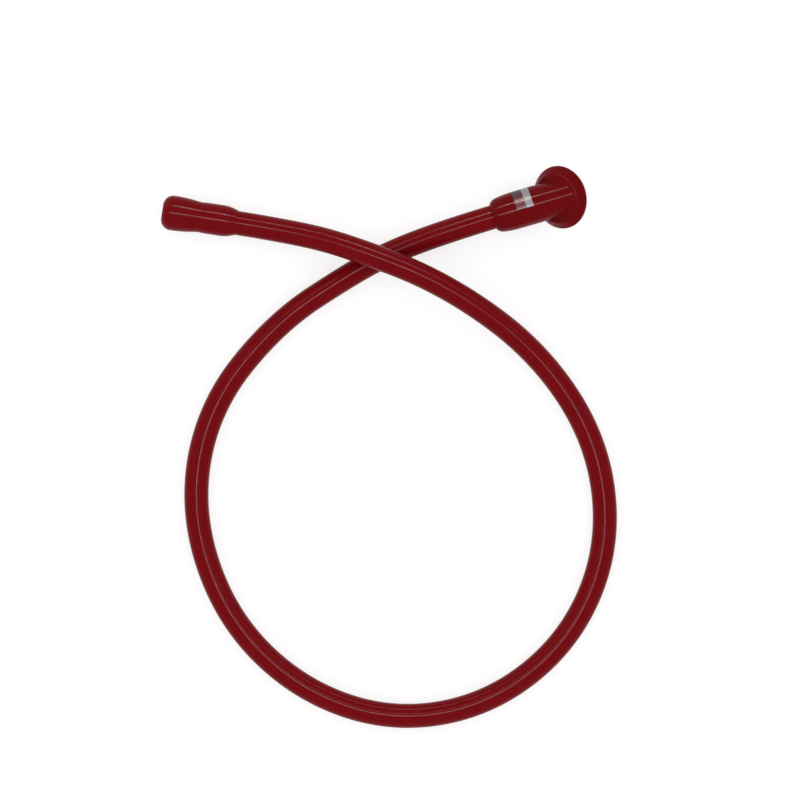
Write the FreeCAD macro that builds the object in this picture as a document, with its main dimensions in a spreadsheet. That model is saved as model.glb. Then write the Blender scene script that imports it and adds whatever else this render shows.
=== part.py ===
"""Siphon bulb pump: a squeeze bulb with a slanted strainer foot, a smooth hose and a soft outlet cuff.

Millimetres, +Z up, lying on the plane z = 0 as it is laid down when not in use. The origin is on that
plane, under the middle of the box round the two end fittings. +X runs along the barrel of the bulb,
from its hose end to the foot. The hose lies in one open loop towards -Y, and its outlet strand
passes over its bulb strand.

Three local frames are used, each with its X axis along a turned piece:
  head   origin at the bulb's hose end, X towards the foot
  foot   origin where the foot's axis crosses the barrel's, in the middle of the foot's wall,
         X out of the foot's back into the bulb
  cuff   origin at the middle of the cuff's mouth, X into the hose
"""

import FreeCAD
import Part
import Sketcher
import math
import os

SIZES = [
    # The hose and how it lies.
    ("hose_radius", 12.5, "hose, outside"),
    ("hose_bore", 9.5, "hose, inside radius"),
    ("head_x", 115.0, "bulb's hose end from the origin"),
    ("head_y", -41.0, "bulb's axis from the origin"),
    ("cuff_x", -208.4, "middle of the cuff's mouth"),
    ("cuff_y", 60.2, "middle of the cuff's mouth"),
    ("cuff_turn", -25.1, "cuff's axis from +X, seen from above"),
    ("head_run", 58.0, "first run of the hose, out of the bulb's neck"),
    ("cuff_run", 78.0, "first run of the hose, out of the cuff"),
    ("crossing_gap", 3.5, "air between the two strands where they cross"),
    # The barrel of the bulb, outside.
    ("barrel_length", 92.0, "hose end to where the barrel would end without the foot"),
    ("barrel_radius", 19.35, "straight part"),
    ("barrel_wall", 3.0, "squeezed wall"),
    ("lip_radius", 14.1, "hose end face"),
    ("shoulder_length", 6.0, "lip to the break of the shoulder"),
    ("shoulder_radius", 17.6, "at the break of the shoulder"),
    ("shoulder_round", 12.5, "arc between lip and break"),
    ("crown_middle", 12.5, "hose end to the corner halfway up the crown"),
    ("crown_radius", 18.75, "there"),
    ("crown_length", 20.0, "hose end to the start of the straight part"),
    ("taper_start", 49.2, "hose end to the corner of the taper"),
    ("taper_angle", 6.4, "taper towards the foot"),
    ("neck_depth", 22.0, "socket that the hose end sits in"),
    ("seat_gap", 0.1, "radial room of the hose in neck and cuff"),
    # The foot.
    ("foot_cross", 67.4, "hose end to the crossing of the two axes"),
    ("foot_tilt", 37.0, "foot's face from the level"),
    ("foot_radius", 32.5, "rim"),
    ("foot_depth", 10.5, "back to face"),
    ("foot_wall", 3.0, "back wall"),
    ("back_radius", 25.3, "flat of the back"),
    ("back_round", 2.5, "edge of the back"),
    ("rim_height", 2.5, "straight edge of the rim"),
    ("rim_edge", 1.2, "broken outer edge of the face"),
    ("rim_width", 3.3, "face of the rim"),
    ("ledge_width", 2.2, "ledge that the strainer plate sits on"),
    ("bowl_radius", 22.5, "flat ceiling of the bowl"),
    # The strainer plate and its screws.
    ("plate_thickness", 2.0, ""),
    ("plate_sunk", 0.5, "plate behind the face of the rim"),
    ("plate_gap", 0.2, "radial room of the plate"),
    ("strain_hole", 1.7, "radius of a strainer hole"),
    ("strain_step", 6.4, "from one ring of strainer holes to the next"),
    ("screw_circle", 23.6, "radius of the screws' circle"),
    ("screw_radius", 1.25, "shank"),
    ("screw_head", 2.5, "countersunk head"),
    ("screw_length", 6.0, ""),
    ("screw_gap", 0.05, "room of the shank"),
    ("boss_radius", 3.1, ""),
    # The ball valve, made twice.
    ("ball_radius", 5.0, ""),
    ("ball_travel", 3.5, "lift off the seat"),
    ("ball_gap", 0.25, "ball to seat and to stop"),
    ("ball_play", 0.4, "radial room of the ball in its cage"),
    ("seat_bore", 3.5, ""),
    ("seat_land", 3.0, "straight bore before the cone"),
    ("valve_radius", 7.8, "body pressed into its hole"),
    ("valve_length", 4.1, "body behind the flange"),
    ("valve_gap", 0.05, "radial room of the body"),
    ("flange_radius", 10.2, ""),
    ("flange_thickness", 2.5, ""),
    ("cage_wall", 1.5, ""),
    ("cage_sunk", 1.5, "cage inside the body"),
    ("cage_hole", 3.0, "hole in the end of the cage"),
    ("cage_chamfer", 1.4, ""),
    ("window_width", 3.6, ""),
    ("window_length", 5.4, ""),
    ("window_start", 8.0, "flange face to the windows"),
    ("seal_radius", 9.0, "middle of the seal ring"),
    ("seal_width", 1.2, ""),
    ("seal_height", 1.2, ""),
    ("seal_room", 0.15, "round the seal in its groove"),
    # The barbed tail and the ferrule, made twice.
    ("tail_length", 20.0, "part of the tail inside the hose"),
    ("tail_bore", 7.85, ""),
    ("tail_room", 0.1, "crest of a barb to the hose's bore"),
    ("barb_height", 0.5, ""),
    ("barb_pitch", 5.2, ""),
    ("barb_start", 3.0, "hose end to the crest of the first barb"),
    ("tail_gap", 0.3, "radial room of the tail's flange"),
    ("tail_flange", 3.0, "thickness"),
    ("gasket_thickness", 1.0, ""),
    ("gasket_inset", 0.3, "gasket behind the edges it sits between"),
    ("ferrule_wall", 0.8, ""),
    ("ferrule_length", 10.0, ""),
    ("ferrule_start", 4.0, "hose end to the ferrule"),
    ("ferrule_gap", 0.05, "radial room inside and outside"),
    # The cuff, outside and inside.
    ("cuff_length", 77.0, ""),
    ("cuff_bore", 9.0, "socket, radius"),
    ("socket_depth", 42.0, "mouth to the step"),
    ("rim_crest", 18.0, "largest radius"),
    ("mouth_round", 10.5, "arc from the mouth to the crest"),
    ("crest_length", 13.0, "mouth to the end of the crest"),
    ("flare_length", 27.0, "mouth to the corner behind the crest"),
    ("flare_radius", 17.1, "there"),
    ("waist_start", 38.0, ""),
    ("waist_radius", 15.65, ""),
    ("waist_length", 5.0, ""),
    ("waist_round", 7.0, ""),
    ("cuff_radius", 16.0, "straight part over the hose end"),
    ("skirt_length", 15.0, "rounded end on the hose"),
    ("skirt_round", 35.7, ""),
    ("skirt_radius", 12.9, "its edge"),
    # The label.
    ("label_start", 24.0, "hose end to the label"),
    ("label_length", 18.5, ""),
    ("label_wrap", 96.0, "how far it goes round"),
    ("label_overlap", 4.0, "past the top of the barrel"),
    ("label_thickness", 0.2, ""),
    ("label_lift", 0.04, "glue under the label"),
]

# Points of the hose between its two straight runs, from the cuff to the bulb: x, y, and whether the
# point is on the floor or on top of the hump that carries the hose over its other strand.
ROUTE = [
    (-31, -31, "hump"),
    (51, -95, "hump"),
    (122, -188, "floor"),
    (153, -295, "floor"),
    (133, -400, "floor"),
    (67, -480, "floor"),
    (-30, -519, "floor"),
    (-131, -507, "floor"),
    (-214, -447, "floor"),
    (-264, -354, "floor"),
    (-267, -241, "floor"),
    (-219, -145, "floor"),
    (-129, -82, "floor"),
    (-40, -55, "floor"),
    (10, -45, "floor"),
]

ARC_SHARE = 0.45
STRAIN_RINGS = (6, 12, 16)
SCREWS = 3
WINDOWS = 4
BARBS = 3

HEAD_Z = (
    "((sizes.foot_depth - sizes.foot_wall / 2) * cos(sizes.foot_tilt * 1deg)"
    " + (sizes.foot_radius - sizes.rim_edge) * sin(sizes.foot_tilt * 1deg))"
)
CUFF_Z = "sizes.rim_crest"
FACE_X = "(sizes.foot_wall / 2 - sizes.foot_depth)"
CEILING_X = "(0 - sizes.foot_wall / 2)"
PLATE_X = "(sizes.foot_wall / 2 - sizes.foot_depth + sizes.plate_sunk)"
LEDGE_X = "(sizes.foot_wall / 2 - sizes.foot_depth + sizes.plate_sunk + sizes.plate_thickness)"
MOUTH_RADIUS = "(sizes.foot_radius - sizes.rim_width)"
HOSE_END_HEAD = "(sizes.neck_depth + sizes.gasket_thickness)"
HOSE_END_CUFF = "(sizes.socket_depth + sizes.gasket_thickness + sizes.tail_flange)"
CHAMBER_RADIUS = "(sizes.ball_radius + sizes.ball_play)"
CAGE_RADIUS = "(sizes.ball_radius + sizes.ball_play + sizes.cage_wall)"
VALVE_END = "(sizes.flange_thickness + sizes.valve_length)"
CAGE_START = "(sizes.flange_thickness + sizes.valve_length - sizes.cage_sunk)"
BALL_X = "((sizes.ball_radius + sizes.ball_gap) * sqrt(2) + sizes.seat_land - sizes.seat_bore)"
HEAD_FLANGE = "(sizes.barrel_radius - sizes.barrel_wall - sizes.tail_gap)"
CUFF_FLANGE = "(sizes.hose_radius + sizes.seat_gap - sizes.tail_gap)"
STOP_X = (
    BALL_X + " + sizes.ball_travel + sizes.ball_gap"
    " + sqrt(sizes.ball_radius * sizes.ball_radius - sizes.cage_hole * sizes.cage_hole)"
)

doc = FreeCAD.newDocument("siphon_bulb_pump")
nodes = []


def make_sheet():
    """The driving dimensions, one row each: name, value, note."""
    sheet = doc.addObject("Spreadsheet::Sheet", "sizes")
    for row, (alias, value, note) in enumerate(SIZES, start=1):
        sheet.set(f"A{row}", alias)
        sheet.set(f"B{row}", str(value))
        sheet.set(f"C{row}", note)
        sheet.setAlias(f"B{row}", alias)
    doc.recompute()
    return sheet


def number(expression):
    """What an expression in the sheet's names is worth now."""
    return float(sheet.evalExpression(str(expression)))


def keep(piece, label):
    """Makes a finished object a sub-part: its label names its file."""
    piece.Label = label
    nodes.append(piece)
    return piece


def place(piece, x, y, z, axis=(0, 0, 1), angle="0"):
    """Binds a piece's placement to the sheet."""
    turn = FreeCAD.Rotation(FreeCAD.Vector(*axis), number(angle))
    spot = FreeCAD.Vector(number(x), number(y), number(z))
    piece.Placement = FreeCAD.Placement(spot, turn)
    piece.setExpression("Placement.Base.x", x)
    piece.setExpression("Placement.Base.y", y)
    piece.setExpression("Placement.Base.z", z)
    if number(angle):
        piece.setExpression("Placement.Rotation.Angle", angle)
    return piece


def on_head(piece, along="0"):
    """Puts a piece built in the head's frame where the head is."""
    return place(piece, f"sizes.head_x + {along}", "sizes.head_y", HEAD_Z)


def on_foot(piece, along="0"):
    """Puts a piece built in the foot's frame where the foot is, moved along the foot's axis."""
    x = f"sizes.head_x + sizes.foot_cross - ({along}) * sin(sizes.foot_tilt * 1deg)"
    z = f"{HEAD_Z} + ({along}) * cos(sizes.foot_tilt * 1deg)"
    return place(piece, x, "sizes.head_y", z, (0, -1, 0), "90 + sizes.foot_tilt")


def stand_on_foot(piece, along):
    """The same for a piece whose own Z axis points out of the foot's back."""
    x = f"sizes.head_x + sizes.foot_cross - ({along}) * sin(sizes.foot_tilt * 1deg)"
    z = f"{HEAD_Z} + ({along}) * cos(sizes.foot_tilt * 1deg)"
    return place(piece, x, "sizes.head_y", z, (0, -1, 0), "sizes.foot_tilt")


def facing_hose(piece, along):
    """Puts a piece whose X axis points out of the bulb into the hose, starting at a place along the barrel."""
    return place(piece, f"sizes.head_x + {along}", "sizes.head_y", HEAD_Z, (0, 0, 1), "180")


def on_cuff(piece):
    """Puts a piece built in the cuff's frame where the cuff is."""
    return place(piece, "sizes.cuff_x", "sizes.cuff_y", CUFF_Z, (0, 0, 1), "sizes.cuff_turn")


def plane_of(body, role):
    """One of a body's own origin planes."""
    return next(f for f in body.Origin.OriginFeatures if f.Role == role)


def new_sketch(body, name, role="XY_Plane"):
    sketch = body.newObject("Sketcher::SketchObject", name)
    sketch.AttachmentSupport = [(plane_of(body, role), "")]
    sketch.MapMode = "FlatFace"
    return sketch


def bind(sketch, constraint, expression):
    """Adds a constraint and ties its value to the sheet."""
    index = sketch.addConstraint(constraint)
    sketch.setExpression(f"Constraints[{index}]", str(expression))


def arc_between(start, end, radius):
    """The short arc from start to end: it bulges to the left of the way for a positive radius."""
    chord = end - start
    middle = (start + end) * 0.5
    half = chord.Length / 2
    side = FreeCAD.Vector(chord.y, -chord.x, 0).normalize()
    reach = math.sqrt(max(radius * radius - half * half, 0.0))
    centre = middle + side * reach * math.copysign(1, radius)
    circle = Part.Circle(centre, FreeCAD.Vector(0, 0, 1), abs(radius))
    first, last = (end, start) if radius > 0 else (start, end)
    return Part.ArcOfCircle(circle, circle.parameter(first), circle.parameter(last))


def outline(sketch, corners):
    """A closed outline in a sketch.

    A corner is (x, y) or (x, y, radius) in the sheet's terms: with a radius, the edge from it to the
    next corner is an arc, which bulges to the left of the way, or to the right if the sign is minus.
    """
    spots = [FreeCAD.Vector(number(c[0]), number(c[1]), 0) for c in corners]
    ends = []
    for i, corner in enumerate(corners):
        after = spots[(i + 1) % len(spots)]
        if len(corner) == 2:
            edge = sketch.addGeometry(Part.LineSegment(spots[i], after))
            ends.append((edge, 1, 2))
        else:
            radius = number(corner[2])
            edge = sketch.addGeometry(arc_between(spots[i], after, radius))
            ends.append((edge, 2, 1) if radius > 0 else (edge, 1, 2))
    for i, (edge, start, end) in enumerate(ends):
        following, its_start, _ = ends[(i + 1) % len(ends)]
        sketch.addConstraint(Sketcher.Constraint("Coincident", edge, end, following, its_start))
    for corner, spot, (edge, start, _) in zip(corners, spots, ends):
        bind(sketch, Sketcher.Constraint("DistanceX", -1, 1, edge, start, spot.x), corner[0])
        bind(sketch, Sketcher.Constraint("DistanceY", -1, 1, edge, start, spot.y), corner[1])
        if len(corner) == 3:
            radius = Sketcher.Constraint("Radius", edge, abs(number(corner[2])))
            bind(sketch, radius, f"abs({corner[2]})")


def new_body(name):
    return doc.addObject("PartDesign::Body", name)


def turned(name, corners, angle="360"):
    """A body turned about its X axis: the outline's x is along the axis and its y is the radius."""
    body = new_body(name)
    sketch = new_sketch(body, name + "_outline")
    outline(sketch, corners)
    revolution = body.newObject("PartDesign::Revolution", name + "_turned")
    revolution.Profile = sketch
    revolution.ReferenceAxis = (sketch, ["H_Axis"])
    revolution.Angle = number(angle)
    if angle != "360":
        revolution.setExpression("Angle", angle)
    sketch.Visibility = False
    body.Tip = revolution
    return body


def cylinder(name, radius, length):
    """A plain cylinder along its own Z axis."""
    piece = doc.addObject("Part::Cylinder", name)
    piece.setExpression("Radius", radius)
    piece.setExpression("Height", length)
    return piece


def boolean(kind, name, base, tool):
    """A Part::Cut, Part::Fuse or Part::Common of two objects."""
    piece = doc.addObject(kind, name)
    piece.Base = base
    piece.Tool = tool
    return piece


def taper_radius(along):
    """The barrel's radius on the taper, at a place along it."""
    return f"(sizes.barrel_radius - ({along} - sizes.taper_start) * tan(sizes.taper_angle * 1deg))"


def barrel_skin():
    """The outside of the barrel: lip, shoulder, straight grip and taper, ended inside the foot."""
    corners = [
        ("0", "0"),
        ("0", "sizes.lip_radius", "sizes.shoulder_round"),
        ("sizes.shoulder_length", "sizes.shoulder_radius"),
        ("sizes.crown_middle", "sizes.crown_radius"),
        ("sizes.crown_length", "sizes.barrel_radius"),
        ("sizes.taper_start", "sizes.barrel_radius"),
        ("sizes.barrel_length", taper_radius("sizes.barrel_length")),
        ("sizes.barrel_length", "0"),
    ]
    skin = on_head(turned("barrel_skin", corners))
    return boolean("Part::Cut", "barrel_outside", skin, foot_side("barrel_cutoff", f"{FACE_X} + sizes.rim_height"))


def barrel_room():
    """The inside of the barrel: neck with its ferrule groove, and the room up to the foot's back wall."""
    neck = "(sizes.hose_radius + sizes.seat_gap)"
    groove = "(sizes.hose_radius + sizes.ferrule_wall + 2 * sizes.ferrule_gap)"
    groove_end = f"({HOSE_END_HEAD} - sizes.ferrule_start + sizes.ferrule_gap)"
    groove_start = f"({groove_end} - sizes.ferrule_length - 2 * sizes.ferrule_gap)"
    corners = [
        ("-1", "0"),
        ("-1", neck),
        (groove_start, neck),
        (groove_start, groove),
        (groove_end, groove),
        (groove_end, neck),
        ("sizes.neck_depth", neck),
        ("sizes.neck_depth", "sizes.barrel_radius - sizes.barrel_wall"),
        ("sizes.taper_start", "sizes.barrel_radius - sizes.barrel_wall"),
        ("sizes.barrel_length", taper_radius("sizes.barrel_length") + " - sizes.barrel_wall"),
        ("sizes.barrel_length", "0"),
    ]
    room = on_head(turned("barrel_room", corners))
    return boolean("Part::Cut", "barrel_inside", room, foot_side("room_cutoff", "sizes.foot_wall / 2"))


def foot_side(name, along):
    """All that lies on the face's side of a place on the foot's axis."""
    block = cylinder(name, "sizes.barrel_length", "sizes.barrel_length")
    return stand_on_foot(block, f"{along} - sizes.barrel_length")


def foot_skin():
    """The outside of the foot, turned about its own axis: face, rim, sloped wall and flat back."""
    back = "sizes.foot_wall / 2"
    slope = "atan((sizes.foot_radius - sizes.back_radius) / (sizes.foot_depth - sizes.rim_height))"
    reach = f"sizes.back_round * tan((90deg - {slope}) / 2)"
    corners = [
        (FACE_X, "0"),
        (FACE_X, "sizes.foot_radius - sizes.rim_edge"),
        (f"{FACE_X} + sizes.rim_edge", "sizes.foot_radius"),
        (f"{FACE_X} + sizes.rim_height", "sizes.foot_radius"),
        (
            f"{back} - {reach} * cos({slope})",
            f"sizes.back_radius + {reach} * sin({slope})",
            "sizes.back_round",
        ),
        (back, f"sizes.back_radius - {reach}"),
        (back, "0"),
    ]
    return on_foot(turned("foot_skin", corners))


def foot_room():
    """The inside of the foot: seat of the strainer plate, ledge and bowl."""
    corners = [
        (f"{FACE_X} - 1", "0"),
        (f"{FACE_X} - 1", MOUTH_RADIUS),
        (LEDGE_X, MOUTH_RADIUS),
        (LEDGE_X, f"{MOUTH_RADIUS} - sizes.ledge_width"),
        (CEILING_X, "sizes.bowl_radius"),
        (CEILING_X, "0"),
    ]
    return on_foot(turned("foot_room", corners))


def round_foot(make, name):
    """Pieces on the screws' circle, all in one compound, in the foot's frame."""
    pieces = []
    for i in range(SCREWS):
        angle = 360 / SCREWS * i
        pieces.append(make(f"{name}_{i + 1}", math.cos(math.radians(angle)), math.sin(math.radians(angle))))
    group = doc.addObject("Part::Compound", name)
    group.Links = pieces
    return group


def set_upright(piece, x, cosine, sine, facing=1):
    """Lays a Z-cylinder along the foot's X axis, on the screws' circle."""
    turn = FreeCAD.Rotation(FreeCAD.Vector(0, 1, 0), 90 * facing)
    spot = FreeCAD.Vector(
        number(x), number("sizes.screw_circle") * cosine, number("sizes.screw_circle") * sine
    )
    piece.Placement = FreeCAD.Placement(spot, turn)
    piece.setExpression("Placement.Base.x", x)
    piece.setExpression("Placement.Base.y", f"sizes.screw_circle * {cosine:.9f}")
    piece.setExpression("Placement.Base.z", f"sizes.screw_circle * {sine:.9f}")
    return piece


def boss(name, cosine, sine):
    """A screw boss that stands on the bowl's ceiling and ends level with the ledge."""
    piece = cylinder(name, "sizes.boss_radius", f"{CEILING_X} - {LEDGE_X}")
    return set_upright(piece, LEDGE_X, cosine, sine)


def pilot(name, cosine, sine):
    """The blind hole in a boss."""
    depth = "sizes.screw_length - sizes.plate_thickness + 5 * sizes.screw_gap"
    piece = cylinder(name, "sizes.screw_radius + sizes.screw_gap", depth)
    return set_upright(piece, LEDGE_X, cosine, sine)


def screw(name, cosine, sine):
    """A countersunk screw, its head level with the face of the plate."""
    head = doc.addObject("Part::Cone", name + "_head")
    head.setExpression("Radius1", "sizes.screw_head")
    head.setExpression("Radius2", "sizes.screw_radius")
    head.setExpression("Height", "sizes.screw_head - sizes.screw_radius")
    set_upright(head, PLATE_X, cosine, sine)
    shank = cylinder(name + "_shank", "sizes.screw_radius", "sizes.screw_length")
    set_upright(shank, PLATE_X, cosine, sine)
    return boolean("Part::Fuse", name, head, shank)


def bulb_body():
    """The moulded bulb and foot in one piece, hollow, with a wall between bulb and bowl."""
    whole = boolean("Part::Fuse", "barrel_and_foot", barrel_skin(), foot_skin())
    hollow = boolean("Part::Cut", "barrel_hollow", whole, barrel_room())
    opened = boolean("Part::Cut", "bowl_opened", hollow, foot_room())
    bored = boolean("Part::Cut", "wall_bored", opened, valve_hole())
    bossed = boolean("Part::Fuse", "with_bosses", bored, on_foot(round_foot(boss, "bosses")))
    return boolean("Part::Cut", "bulb_body", bossed, on_foot(round_foot(pilot, "pilots")))


def valve_hole():
    """The hole for the inlet valve through the foot's back wall."""
    hole = cylinder(
        "valve_hole", "sizes.valve_radius + sizes.valve_gap", "sizes.foot_wall + 2 * sizes.ball_radius"
    )
    return stand_on_foot(hole, "0 - sizes.foot_wall / 2 - sizes.ball_radius")


def valve_seat(name):
    """The seat: a flange with a groove for its seal, a body, and a bore that opens in a 45 degree cone."""
    low = "sizes.seal_radius - sizes.seal_width / 2 - sizes.seal_room"
    high = "sizes.seal_radius + sizes.seal_width / 2 + sizes.seal_room"
    floor = "sizes.flange_thickness - sizes.seal_height - sizes.seal_room"
    cone = f"({CHAMBER_RADIUS} - sizes.seat_bore)"
    corners = [
        ("0", "sizes.seat_bore"),
        ("0", "sizes.flange_radius"),
        ("sizes.flange_thickness", "sizes.flange_radius"),
        ("sizes.flange_thickness", high),
        (floor, high),
        (floor, low),
        ("sizes.flange_thickness", low),
        ("sizes.flange_thickness", "sizes.valve_radius"),
        (VALVE_END, "sizes.valve_radius"),
        (VALVE_END, f"{CAGE_RADIUS} + sizes.valve_gap"),
        (CAGE_START, f"{CAGE_RADIUS} + sizes.valve_gap"),
        (CAGE_START, CHAMBER_RADIUS),
        (f"sizes.seat_land + {cone}", CHAMBER_RADIUS),
        ("sizes.seat_land", "sizes.seat_bore"),
    ]
    return turned(name, corners)


def valve_cage(name):
    """The cage: a cup over the ball with windows round it and a hole in its end."""
    end = f"({STOP_X} + sizes.cage_wall)"
    corners = [
        (CAGE_START, CHAMBER_RADIUS),
        (CAGE_START, CAGE_RADIUS),
        (f"{end} - sizes.cage_chamfer", CAGE_RADIUS),
        (end, f"{CAGE_RADIUS} - sizes.cage_chamfer"),
        (end, "sizes.cage_hole"),
        (STOP_X, "sizes.cage_hole"),
        (STOP_X, CHAMBER_RADIUS),
    ]
    body = turned(name, corners)
    sketch = new_sketch(body, name + "_window", "XZ_Plane")
    stretch = "(sizes.window_start + sizes.window_length)"
    outline(
        sketch,
        [
            ("sizes.window_start", "0 - sizes.window_width / 2"),
            (stretch, "0 - sizes.window_width / 2"),
            (stretch, "sizes.window_width / 2"),
            ("sizes.window_start", "sizes.window_width / 2"),
        ],
    )
    pocket = body.newObject("PartDesign::Pocket", name + "_pocket")
    pocket.Profile = sketch
    pocket.Type = "ThroughAll"
    pocket.Reversed = True
    sketch.Visibility = False
    ring = body.newObject("PartDesign::PolarPattern", name + "_windows")
    ring.Originals = [pocket]
    ring.Axis = (sketch, ["H_Axis"])
    ring.Angle = 360
    ring.Occurrences = WINDOWS
    body.Tip = ring
    return body


def valve_seal(name):
    """The seal ring in the groove of the flange."""
    near = "sizes.flange_thickness - sizes.seal_height"
    corners = [
        (near, "sizes.seal_radius - sizes.seal_width / 2"),
        (near, "sizes.seal_radius + sizes.seal_width / 2"),
        ("sizes.flange_thickness", "sizes.seal_radius + sizes.seal_width / 2"),
        ("sizes.flange_thickness", "sizes.seal_radius - sizes.seal_width / 2"),
    ]
    return turned(name, corners)


def valve_ball(name):
    """The ball, closed: a small gap off the cone of its seat."""
    corners = [
        (f"{BALL_X} - sizes.ball_radius", "0", "sizes.ball_radius"),
        (BALL_X, "sizes.ball_radius", "sizes.ball_radius"),
        (f"{BALL_X} + sizes.ball_radius", "0"),
    ]
    return turned(name, corners)


def valve(name, put):
    """A complete ball valve, each piece put in its place by the function given."""
    keep(put(valve_seat(name + "_seat")), name + "_seat")
    keep(put(valve_cage(name + "_cage")), name + "_cage")
    keep(put(valve_seal(name + "_seal")), name + "_seal")
    keep(put(valve_ball(name + "_ball")), name + "_ball")


def strainer_plate():
    """The perforated plate in the foot's mouth, with countersunk holes for its screws."""
    disc = turned(
        "strainer_disc",
        [
            (PLATE_X, "0"),
            (PLATE_X, f"{MOUTH_RADIUS} - sizes.plate_gap"),
            (f"{PLATE_X} + sizes.plate_thickness", f"{MOUTH_RADIUS} - sizes.plate_gap"),
            (f"{PLATE_X} + sizes.plate_thickness", "0"),
        ],
    )
    sketch = new_sketch(disc, "strainer_holes", "YZ_Plane")
    centre = sketch.addGeometry(Part.Circle(FreeCAD.Vector(0, 0, 0), FreeCAD.Vector(0, 0, 1), 1))
    sketch.addConstraint(Sketcher.Constraint("Coincident", centre, 3, -1, 1))
    bind(sketch, Sketcher.Constraint("Radius", centre, number("sizes.strain_hole")), "sizes.strain_hole")
    for ring, count in enumerate(STRAIN_RINGS, start=1):
        for i in range(count):
            strainer_hole(sketch, ring, math.radians(360 / count * (i + 0.5)))
    pocket = disc.newObject("PartDesign::Pocket", "strainer_pocket")
    pocket.Profile = sketch
    pocket.Type = "ThroughAll"
    pocket.Midplane = True
    sketch.Visibility = False
    disc.Tip = pocket
    holes = round_foot(plate_hole, "plate_holes")
    return on_foot(boolean("Part::Cut", "strainer_plate", disc, holes))


def strainer_hole(sketch, ring, angle):
    """One hole of the strainer, on its ring."""
    spot = [math.cos(angle), math.sin(angle)]
    reach = number("sizes.strain_step") * ring
    place_at = FreeCAD.Vector(reach * spot[0], reach * spot[1], 0)
    hole = sketch.addGeometry(Part.Circle(place_at, FreeCAD.Vector(0, 0, 1), 1))
    for kind, share in (("DistanceX", spot[0]), ("DistanceY", spot[1])):
        constraint = Sketcher.Constraint(kind, -1, 1, hole, 3, reach * share)
        bind(sketch, constraint, f"sizes.strain_step * {ring * share:.9f}")
    bind(sketch, Sketcher.Constraint("Radius", hole, number("sizes.strain_hole")), "sizes.strain_hole")


def plate_hole(name, cosine, sine):
    """A countersunk hole in the strainer plate, a little wider than its screw all over."""
    flare = doc.addObject("Part::Cone", name + "_flare")
    flare.setExpression("Radius1", "sizes.screw_head + 2 * sizes.screw_gap")
    flare.setExpression("Radius2", "sizes.screw_radius + 2 * sizes.screw_gap")
    flare.setExpression("Height", "sizes.screw_head - sizes.screw_radius")
    set_upright(flare, PLATE_X, cosine, sine)
    shank = cylinder(name + "_shank", "sizes.screw_radius + 2 * sizes.screw_gap", "sizes.screw_length")
    set_upright(shank, PLATE_X, cosine, sine)
    return boolean("Part::Fuse", name, flare, shank)


def barbed_tail(name, flange):
    """The rigid tail in a hose end: a flange on the hose's end face and a barbed tube in its bore.

    Its X axis runs from the flange's far face into the hose.
    """
    crest = "(sizes.hose_bore - sizes.tail_room)"
    root = "(sizes.hose_bore - sizes.tail_room - sizes.barb_height)"
    corners = [
        ("0", "sizes.tail_bore"),
        ("0", flange),
        ("sizes.tail_flange", flange),
        ("sizes.tail_flange", root),
    ]
    for i in range(BARBS):
        at = f"sizes.tail_flange + sizes.barb_start + {i} * sizes.barb_pitch"
        corners += [
            (at, root),
            (at, crest),
            (f"{at} + sizes.barb_pitch * 0.7", root),
        ]
    end = "sizes.tail_flange + sizes.tail_length"
    corners += [
        (end, root),
        (end, "sizes.tail_bore"),
    ]
    return turned(name, corners)


def ring(name, start, end, low, high):
    """A plain ring along X."""
    return turned(name, [(start, low), (start, high), (end, high), (end, low)])


def ferrule(name, hose_end, way):
    """The metal sleeve round a hose end. way is the side of hose_end that the hose lies on."""
    near = f"{hose_end} {way} sizes.ferrule_start"
    far = f"{near} {way} sizes.ferrule_length"
    low = "sizes.hose_radius + sizes.ferrule_gap"
    return ring(name, near, far, low, f"{low} + sizes.ferrule_wall")


def head_end():
    """Tail, gasket and ferrule in the bulb's neck."""
    tail_start = f"{HOSE_END_HEAD} + sizes.tail_flange"
    keep(facing_hose(barbed_tail("head_tail", HEAD_FLANGE), tail_start), "head_tail")
    gasket = ring(
        "head_gasket",
        "sizes.neck_depth",
        HOSE_END_HEAD,
        "sizes.hose_radius + sizes.gasket_inset",
        f"{HEAD_FLANGE} - sizes.gasket_inset",
    )
    keep(on_head(gasket), "head_gasket")
    keep(on_head(ferrule("head_ferrule", HOSE_END_HEAD, "-")), "head_ferrule")


def cuff_tail():
    """The same tail, set on the cuff's gasket."""
    tail = barbed_tail("cuff_tail", CUFF_FLANGE)
    along = "(sizes.socket_depth + sizes.gasket_thickness)"
    x = f"sizes.cuff_x + {along} * cos(sizes.cuff_turn * 1deg)"
    y = f"sizes.cuff_y + {along} * sin(sizes.cuff_turn * 1deg)"
    return place(tail, x, y, CUFF_Z, (0, 0, 1), "sizes.cuff_turn")


def cuff_end():
    """Tail, gasket and ferrule in the cuff."""
    keep(cuff_tail(), "cuff_tail")
    gasket = ring(
        "cuff_gasket",
        "sizes.socket_depth",
        "sizes.socket_depth + sizes.gasket_thickness",
        "sizes.cuff_bore + sizes.gasket_inset",
        f"{CUFF_FLANGE} - sizes.gasket_inset",
    )
    keep(on_cuff(gasket), "cuff_gasket")
    keep(on_cuff(ferrule("cuff_ferrule", HOSE_END_CUFF, "+")), "cuff_ferrule")


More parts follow.
